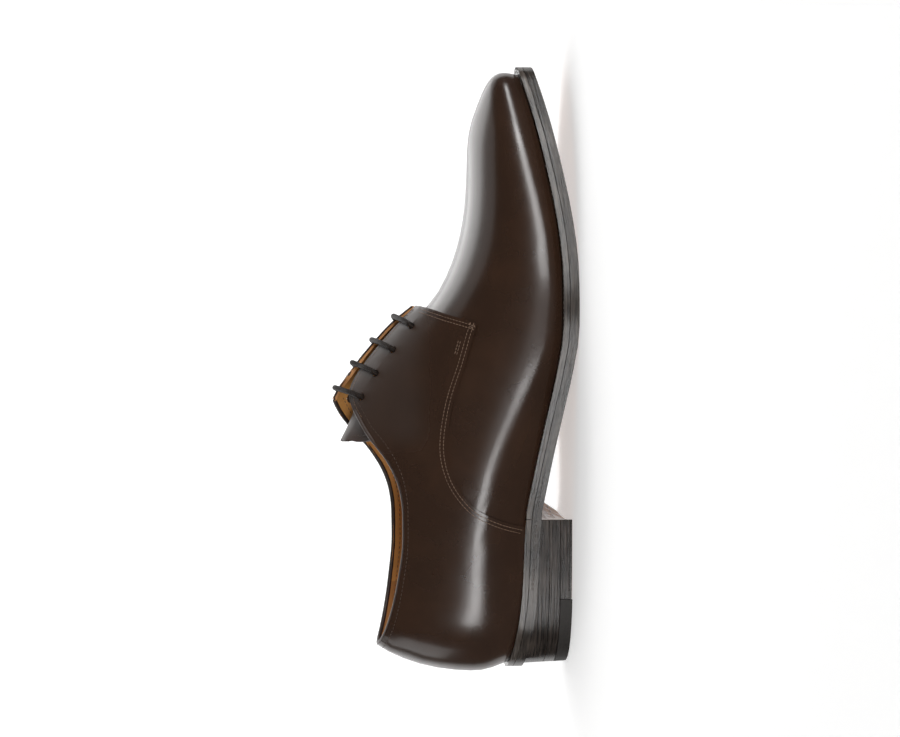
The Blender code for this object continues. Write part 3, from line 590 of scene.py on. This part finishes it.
def line_inside(piece, materials, chooser):
    """Gives each face of a wall the slot that the chooser names for its middle and normal."""
    piece.data.materials.clear()
    for material in materials:
        piece.data.materials.append(material)
    for face in piece.data.polygons:
        face.material_index = chooser(face.center, face.normal)


def upper_slot(middle, normal):
    """Slot of a face of the upper: 0 for its outside, 1 for the lining, 2 for the facings' cut edges."""
    outward = (middle - core_of(middle)).normalized()
    facing = normal.dot(outward)
    outer_edge, inner_edge = facing_edges(middle.x)
    in_throat = -0.022 < middle.x < 0.034 and outer_edge - 0.0006 < middle.y < inner_edge + 0.0006
    if in_throat and abs(normal.y) > 0.55:
        return 2
    return 0 if facing > -0.15 else 1


def tongue_slot(middle, normal):
    """Slot of a face of the tongue: 1 for its lining, 0 for its outside and all round its end."""
    return 0 if normal.z > -0.1 or middle.x < TONGUE_DARK_END else 1


def eased(share):
    share = max(0.0, min(1.0, share))
    return share * share * (3 - 2 * share)


def flare_inner_facing(piece):
    """Lifts the inner facing's free edge, which stands higher than the outer one in the photo."""
    for corner in piece.data.vertices:
        x, y, z = corner.co
        edge = facing_edges(x)[1]
        if z < FACING_LOWEST or y < edge - FACING_SLACK:
            continue
        across = eased(1.0 - (y - edge) / FACING_RISE_WIDTH)
        ends = eased((x + 0.034) / 0.012) * eased((0.036 - x) / 0.014)
        corner.co.z = z + FACING_RISE * across * ends


def weigh_normals(piece):
    """Lets big faces rule the shading, so that thin faces along the seams leave no smudges."""
    pick(piece)
    bpy.ops.object.modifier_add(type="WEIGHTED_NORMAL")
    weighted = piece.modifiers[-1]
    weighted.keep_sharp = True
    bpy.ops.object.modifier_apply(modifier=weighted.name)


def lift_tongue_end(piece):
    """Lets the tongue's free end stand off the foot a little, its sides a little longer than its middle."""
    for corner in piece.data.vertices:
        share = max(0.0, (-0.020 - corner.co.x) / 0.0135)
        aside = eased(abs(corner.co.y - 0.002) / 0.010)
        corner.co.x -= TONGUE_ROUND * share * (aside - 0.5)
        corner.co.z += TONGUE_RISE * share * share * (1.0 - 0.4 * aside)


upper = merged_copy("upper")
line_inside(upper, (CALF, LINING, RAW), upper_slot)
flare_inner_facing(upper)
bpy.ops.object.shade_smooth_by_angle(angle=LEATHER_ANGLE)
weigh_normals(upper)
settle(upper, "calf_upper", None)
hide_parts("upper")

tongue = merged_copy("tongue")
line_inside(tongue, (TONGUE, LINING), tongue_slot)
lift_tongue_end(tongue)
bpy.ops.object.shade_smooth_by_angle(angle=LEATHER_ANGLE)
settle(tongue, "lined_tongue", None)
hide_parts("tongue")

WALL = surface_of(upper)


def strike(origin, direction):
    """Where a straight line meets the upper's wall, and the surface normal there, or None."""
    place, normal, _, _ = WALL.ray_cast(origin, direction)
    return None if place is None else (place, normal)


for node, name, material, slot in (
    ("insole", "sock_lined_insole", SOCK, "lining"),
    ("welt", "waxed_welt", WELT, "edge"),
    ("heel_rand", "waxed_rand", WELT, "edge"),
    ("outsole", "waxed_outsole", EDGE, "edge"),
    ("heel_lift_1", "waxed_lift_1", STACK, "edge"),
    ("heel_lift_2", "waxed_lift_2", STACK, "edge"),
    ("top_lift", "waxed_top_lift", STACK, "edge"),
    ("heel_rubber", "moulded_heel_rubber", RUBBER, "rubber"),
):
    piece = merged_copy(node)
    bpy.ops.object.shade_smooth_by_angle(angle=SOLE_ANGLE)
    settle(piece, name, material)
    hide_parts(node)


# Lines on the upper that stitches and folds follow

def rim_point(angle):
    """Middle of the top line's edge, in one direction from the middle of the collar."""
    way = Vector((math.cos(angle), math.sin(angle), 0.0))
    best, ring = 0.0, []
    for step in range(60, 340):
        place = COLLAR_CENTRE + way * (step * RIM_STEP)
        found = strike(Vector((place.x, place.y, RAY_HEIGHT)), DOWN)
        if found and found[0].z > LOWEST_RIM:
            ring.append(found[0])
            best = max(best, found[0].z)
            if len(ring) > 8:
                break
    top = [place for place in ring if place.z > best - RIM_DEPTH]
    return sum(top, Vector()) / len(top) if top else None


def rim_line():
    """The collar's top line, from the inner facing's corner back round the heel to the outer one."""
    line = []
    for degrees in range(7, 352, 3):
        place = rim_point(math.radians(degrees))
        if place is not None:
            line.append(place)
    for _ in range(2):
        line = [line[0]] + [(a + b * 2 + c) / 4 for a, b, c in zip(line, line[1:], line[2:])] + [line[-1]]
    return line


def beside_rim(rim, drop, inside):
    """A line on the wall a little under the top line, on its outside or on the lining."""
    line = []
    for place in rim:
        away = (Vector((place.x, place.y, 0.0)) - COLLAR_CENTRE).normalized()
        level = Vector((place.x, place.y, place.z - drop))
        origin = level - away * RIM_REACH if inside else level + away * RIM_REACH
        found = strike(origin, away if inside else -away)
        if found and (found[0] - level).length < 0.008:
            line.append(found)
    return line


def seam_line(side, shift):
    """The quarter's seam on one side, moved back and up from its edge by a shift."""
    flat = curve_points([Vector((x * MM, 0.0, z * MM)) for x, z in QUARTER_SEAM], 8)
    line = []
    for before, here, after in zip([flat[0]] + flat, flat, flat[1:] + [flat[-1]]):
        along = (after - before).normalized()
        aside = Vector((along.z, 0.0, -along.x)) * shift
        place = here + aside
        found = strike(Vector((place.x, side * SIDE_REACH, place.z)), Vector((0, -side, 0)))
        if found and found[0].z > 0.024:
            line.append(found)
    return line


def facing_line(side, shift):
    """A line along one facing's edge, moved on to the facing by a shift."""
    line = []
    for step in range(31):
        x = 0.0315 - step * 0.0019
        edge = facing_edges(x)[0 if side < 0 else 1]
        found = strike(Vector((x, edge + side * shift, RAY_HEIGHT)), DOWN)
        if found and found[0].z > 0.07:
            line.append(found)
    return line


def one_stitch():
    """One thread stitch a unit long, rounded and pulled in at its ends."""
    quarter_turn = (0, math.pi / 2, 0)
    bpy.ops.mesh.primitive_uv_sphere_add(segments=8, ring_count=6, radius=0.5, rotation=quarter_turn)
    stitch = bpy.context.object
    bpy.ops.object.transform_apply(location=False, rotation=True, scale=False)
    bpy.ops.object.shade_smooth()
    return stitch


def sew(name, line, material, pitch=STITCH_PITCH, length=STITCH_LENGTH, width=STITCH_WIDTH):
    """A row of stitches lying on the leather along a line of places and normals."""
    places = [place for place, _ in line]
    normals = [normal for _, normal in line]
    pattern = one_stitch()
    made = []
    for place, along in evenly(places, pitch):
        near = min(range(len(places)), key=lambda i: (places[i] - place).length)
        up = normals[near]
        side = up.cross(along).normalized()
        along = side.cross(up).normalized()
        turn = Matrix((along, side, up)).transposed().to_4x4()
        size = Matrix.Diagonal((length, width, width * 0.8, 1.0))
        stitch = bpy.data.objects.new(name, pattern.data.copy())
        bpy.context.scene.collection.objects.link(stitch)
        stitch.data.transform(Matrix.Translation(place + up * width * 0.12) @ turn @ size)
        made.append(stitch)
    bpy.data.objects.remove(pattern)
    return joined(made, name, material)


def tube(name, points, radius, material, resolution=4, piece_for=()):
    """A round tube along a line, made from a bevelled curve."""
    curve = bpy.data.curves.new(name, "CURVE")
    curve.dimensions = "3D"
    curve.bevel_depth = radius
    curve.bevel_resolution = resolution
    curve.use_fill_caps = True
    spline = curve.splines.new("POLY")
    spline.points.add(len(points) - 1)
    for target, place in zip(spline.points, points):
        target.co = (*place, 1.0)
    thing = bpy.data.objects.new(name, curve)
    bpy.context.scene.collection.objects.link(thing)
    pick(thing)
    bpy.ops.object.convert(target="MESH")
    thing = bpy.context.object
    bpy.ops.object.shade_smooth()
    settle(thing, name, material)
    for node in piece_for:
        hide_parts(node)
    return thing


rim = rim_line()
inner_corner = facing_line(1, BEAD_SHIFT)[-1][0]
fold = [place + DOWN * FOLD_SINK for place in curve_points([inner_corner] + rim, 3)]
tube("top_line_fold", fold, FOLD_RADIUS, TONGUE, 4)
sew("top_line_stitches", beside_rim(rim, 0.0019, False), DARK_THREAD, 0.0021, 0.0015, 0.00036)
sew("lining_stitches", beside_rim(rim, 0.0036, True), THREAD, 0.0024, 0.0016, 0.00040)
for side, word in ((-1, "outer"), (1, "inner")):
    for row, shift in enumerate(SEAM_SHIFTS):
        sew(f"{word}_seam_stitches_{row + 1}", seam_line(side, shift), THREAD)
    sew(f"{word}_facing_stitches", facing_line(side, FACING_STITCH_SHIFT), THREAD)


# Small trims of the throat and the heel

def lowered(line, depth):
    """Places a little under the surface that a line of places and normals lies on."""
    return [place - normal * depth for place, normal in line]


def between(line, low, high):
    """The part of a line of places and normals between two places along the shoe."""
    return [(place, normal) for place, normal in line if low < place.x < high]


def tab_line():
    """Curved front of the small tab at the back of the collar, on the inner side."""
    line = []
    for degrees, height in TAB_FRONT:
        way = Vector((math.cos(math.radians(degrees)), math.sin(math.radians(degrees)), 0.0))
        found = strike(COLLAR_CENTRE + way * 0.12 + Vector((0, 0, height)), -way)
        if found:
            line.append(found)
    return curve_points([place for place, _ in line], 5)


def tongue_end():
    """A line inside the round end of the tongue, on its outside."""
    skin = surface_of(tongue)
    line = []
    for x, y in TONGUE_END:
        place, normal, _, _ = skin.ray_cast(Vector((x * MM, y * MM, RAY_HEIGHT)), DOWN)
        if place is not None:
            line.append((place, normal))
    return line


def tongue_rim():
    """The rounded edge of the tongue's end, just past the line of its stitches."""
    places = []
    for place, normal in tongue_end():
        away = Vector((place.x + 0.022, place.y - 0.002, 0.0)).normalized()
        places.append(place - normal * TONGUE_EDGE_RADIUS + away * TONGUE_EDGE_SHIFT)
    return places


for side, word in ((-1, "outer"), (1, "inner")):
    bead = lowered(facing_line(side, BEAD_SHIFT), BEAD_RADIUS * 0.8)
    tube(f"{word}_facing_bead", bead, BEAD_RADIUS, TONGUE, 3)
    for row, depth in ((1, TACK_DEPTH), (2, TACK_DEPTH + 0.0010)):
        tack = between(seam_line(side, depth), *TACK_SPAN)
        sew(f"{word}_corner_tack_{row}", tack, THREAD)

sew("tongue_stitches", tongue_end(), DARK_THREAD, 0.0022, 0.0016, 0.00040)
tube("tongue_edge", curve_points(tongue_rim(), 3), TONGUE_EDGE_RADIUS, TONGUE, 3)
tube("back_tab_edge", tab_line(), TAB_EDGE_RADIUS, CALF, 3)


# The lace runs on through all eight eyelets: four bars over the gap, the runs between them hidden

def eyelet(row, side):
    """Middle of a hole and the leather's normal there, from four places round the hole."""
    x, outer, inner = (start + row * step for start, step in zip(FIRST_EYELETS, EYELET_STEP))
    centre = Vector((x, outer if side < 0 else inner, 0.0)) * MM
    places, normals = Vector(), Vector()
    for step in range(4):
        turn = math.pi / 2 * (step + 0.5)
        spot = centre + Vector((math.cos(turn), math.sin(turn), 0.0)) * EYELET_RIM
        place, normal = strike(spot - DOWN * RAY_HEIGHT, DOWN)
        places += place / 4
        normals += normal
    return places, normals.normalized()


def out_of_hole(place, normal, across):
    """Places of the lace from under the leather, up through its hole and round on to the leather."""
    along = (across - normal * across.dot(normal)).normalized()
    return [place + normal * rise + along * run for rise, run in LACE_BEND]


def bar_places(row):
    """The lace from the outer hole of a row over both facings to the inner hole."""
    (outer, outer_normal), (inner, inner_normal) = eyelet(row, -1), eyelet(row, 1)
    up = (outer_normal + inner_normal).normalized()
    over = []
    for step in range(11):
        base = outer.lerp(inner, 0.13 + 0.74 * step / 10)
        found = strike(base + up * 0.06, -up)
        if found and (found[0] - base).dot(up) > 0 and found[1].dot(up) > 0.55:
            over.append(found[0] + found[1] * (LACE_RADIUS + LACE_LIFT))
    start = out_of_hole(outer, outer_normal, inner - outer)
    return start + over + out_of_hole(inner, inner_normal, outer - inner)[::-1]


def hidden_run(low, high, side, aside):
    """The lace under a facing from one row's hole to another's, a little beside the straight line."""
    (start, start_normal), (end, end_normal) = eyelet(low, side), eyelet(high, side)
    along = (end - start).normalized()
    way = along.cross((start_normal + end_normal).normalized()) * side
    places = []
    for share in (0.12, 0.35, 0.65, 0.88):
        place = start.lerp(end, share) - start_normal.lerp(end_normal, share) * RUN_DEPTH
        places.append(place + way * aside * math.sin(math.pi * share))
    return places


def whole_lace():
    """The lace from its hidden end at the top inner eyelet, bar by bar, to its other end there."""
    bars = [bar_places(row) for row in range(EYELET_ROWS)]
    place, normal = eyelet(3, 1)
    path = [place - normal * RUN_DEPTH + Vector((0, LACE_RADIUS * 2.4, -LACE_RADIUS))]
    path += hidden_run(3, 2, 1, 0.0) + bars[2][::-1]
    path += hidden_run(2, 0, -1, RUN_ASIDE) + bars[0]
    path += hidden_run(0, 1, 1, 0.0) + bars[1][::-1]
    path += hidden_run(1, 3, -1, -RUN_ASIDE) + bars[3]
    return curve_points(path, 4)


def eyelet_back(row, side):
    """A flat disc behind a blind eyelet, on the lining side of its hole."""
    place, normal = eyelet(row, side)
    beside = Vector((1.0, 0.0, 0.0)) - normal * normal.x
    found = strike(place + beside * 0.0029 - normal * 0.0065, normal)
    depth = (found[0] - place).dot(normal) if found else -0.0025
    turn = normal.to_track_quat("Z", "Y").to_euler()
    spot = place + normal * (depth - EYELET_DEPTH / 2)
    deselect()
    bpy.ops.mesh.primitive_cylinder_add(
        vertices=24, radius=EYELET_RADIUS, depth=EYELET_DEPTH, location=spot, rotation=turn,
    )
    return bpy.context.object


cad_bars = [f"lace_bar_{row + 1}" for row in range(EYELET_ROWS)]
tube("lace", whole_lace(), LACE_RADIUS, LACE, 5, cad_bars)
backs = [eyelet_back(row, side) for row in range(EYELET_ROWS) for side in (-1, 1)]
joined(backs, "eyelet_backs", TONGUE)


# Wheel marks pressed along the welt and the heel seat

def rim_rays(low, high, fan_x, fan_from):
    """Level rays at a sole piece: in along its outer side, round one end in a fan, back along the inner."""
    steps = 40
    stations = [low + (high - low) * step / steps for step in range(steps + 1)]
    rays = [(Vector((x, -SIDE_REACH, 0.0)), Vector((0, 1, 0))) for x in stations]
    for step in range(1, 36):
        turn = math.radians(fan_from + 5 * step)
        way = Vector((math.cos(turn), math.sin(turn), 0.0))
        rays.append((Vector((fan_x, 0.003, 0.0)) + way * SIDE_REACH, -way))
    return rays + [(Vector((x, SIDE_REACH, 0.0)), Vector((0, -1, 0))) for x in reversed(stations)]


def rim_of(node, rays, rise):
    """Places on a sole piece's outer wall, a little above its lower edge."""
    skin = surface_of(nodes[node])
    low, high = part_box(node)
    places = []
    for origin, way in rays:
        for level in range(60):
            start = origin + Vector((0, 0, low.z + 0.0002 + (high.z - low.z) * level / 60))
            place, normal, _, _ = skin.ray_cast(start, way)
            if place is not None and abs(normal.z) < 0.5:
                places.append(place + Vector((0, 0, rise)))
                break
    return places


def press(name, line, size, material):
    """A row of small rounded marks, each across the line that they follow."""
    bpy.ops.mesh.primitive_cube_add(size=1.0)
    pattern = bpy.context.object
    bpy.ops.object.mode_set(mode="EDIT")
    bpy.ops.mesh.bevel(offset=0.22, segments=2, affect="EDGES")
    bpy.ops.object.mode_set(mode="OBJECT")
    bpy.ops.object.shade_smooth()
    made = []
    for place, along in evenly(line, WHEEL_PITCH):
        out = Vector((along.y, -along.x, 0.0)).normalized()
        turn = Matrix((along, out, Vector((0, 0, 1)))).transposed().to_4x4()
        mark = bpy.data.objects.new(name, pattern.data.copy())
        bpy.context.scene.collection.objects.link(mark)
        mark.data.transform(Matrix.Translation(place) @ turn @ Matrix.Diagonal((*size, 1.0)))
        made.append(mark)
    bpy.data.objects.remove(pattern)
    return joined(made, name, material)


def moved_in(places, amount):
    """Places drawn towards the middle of the forefoot by an amount."""
    return [place - Vector((place.x - 0.02, place.y, 0.0)).normalized() * amount for place in places]


welt_rim = rim_of("welt", rim_rays(-0.0715, 0.100, 0.100, -90), WELT_MARK_RISE)
press("welt_wheel_marks", moved_in(welt_rim, WELT_MARK_INSET), WELT_MARK, WELT)
seat_rim = rim_of("outsole", rim_rays(-0.077, -0.110, -0.110, 270), SEAT_MARK_RISE)
press("seat_wheel_marks", seat_rim, SEAT_MARK, EDGE)


# Stage, light and camera

def white_surface(name, shade, glow):
    """Matt white paper that also gives some light of its own."""
    made, tree, shader = shader_of(name)
    place = tree.nodes.new("ShaderNodeTexCoord").outputs["Object"]
    cloud = noise(tree, place, 3.0, 2.0)
    low, high = tuple([shade * 0.985] * 3), (shade, shade, shade)
    tree.links.new(ramp(tree, cloud, ((0.3, low), (0.7, high))), shader.inputs["Base Color"])
    shader.inputs["Roughness"].default_value = 0.90
    shader.inputs["Specular IOR Level"].default_value = 0.0
    shader.inputs["Emission Color"].default_value = (1.0, 1.0, 1.0, 1.0)
    shader.inputs["Emission Strength"].default_value = glow
    return made


def make_stage():
    """A pale floor, kept out of the leather's reflections, and a pale backdrop behind the shoe."""
    bpy.ops.mesh.primitive_plane_add(size=STAGE_SIZE, location=(0, 0, 0))
    floor = bpy.context.object
    floor.name = "studio_floor"
    floor.data.materials.append(white_surface("pale floor", 0.80, 0.46))
    floor.visible_glossy = False
    floor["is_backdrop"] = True
    upright = (math.pi / 2, 0, 0)
    bpy.ops.mesh.primitive_plane_add(size=STAGE_SIZE, location=(0, 2.6, 2.0), rotation=upright)
    wall = bpy.context.object
    wall.name = "studio_backdrop"
    wall.data.materials.append(white_surface("pale backdrop", 0.60, 0.70))
    wall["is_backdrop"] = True


def area_light(name, place, size, power):
    """A soft rectangular light that looks at the shoe."""
    light = bpy.data.lights.new(name, "AREA")
    light.shape = "RECTANGLE"
    light.size, light.size_y = size
    light.energy = power
    thing = bpy.data.objects.new(name, light)
    bpy.context.scene.collection.objects.link(thing)
    look = (SHOE_MIDDLE - Vector(place)).normalized()
    side = Vector((look.y, -look.x, 0.0)).normalized()
    turn = Matrix((side, side.cross(look), -look)).transposed().to_4x4()
    thing.matrix_world = Matrix.Translation(place) @ turn


def make_camera():
    """The photo's side view with the toe up: a little above level, rolled by a quarter turn."""
    low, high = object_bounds()
    aim = (low + high) / 2
    forward = Vector((0, math.cos(CAMERA_ELEVATION), -math.sin(CAMERA_ELEVATION)))
    down = Vector((0, -math.sin(CAMERA_ELEVATION), -math.cos(CAMERA_ELEVATION)))
    toe = Vector((1, 0, 0))
    camera = bpy.data.cameras.new("side_camera")
    camera.lens = 128
    camera.sensor_width = 36
    thing = bpy.data.objects.new("side_camera", camera)
    bpy.context.scene.collection.objects.link(thing)
    turn = Matrix((down, toe, -forward)).transposed().to_4x4()
    thing.matrix_world = Matrix.Translation(aim - forward * CAMERA_DISTANCE) @ turn
    bpy.context.scene.camera = thing


make_stage()
for name, place, size, power in LIGHTS:
    area_light(name, place, size, power)
world = bpy.data.worlds.new("studio")
bpy.context.scene.world = world
world.use_nodes = True
background = world.node_tree.nodes["Background"]
background.inputs["Color"].default_value = (1.0, 0.96, 0.90, 1.0)
background.inputs["Strength"].default_value = 0.05
bpy.context.scene.view_settings.view_transform = "Standard"
make_camera()
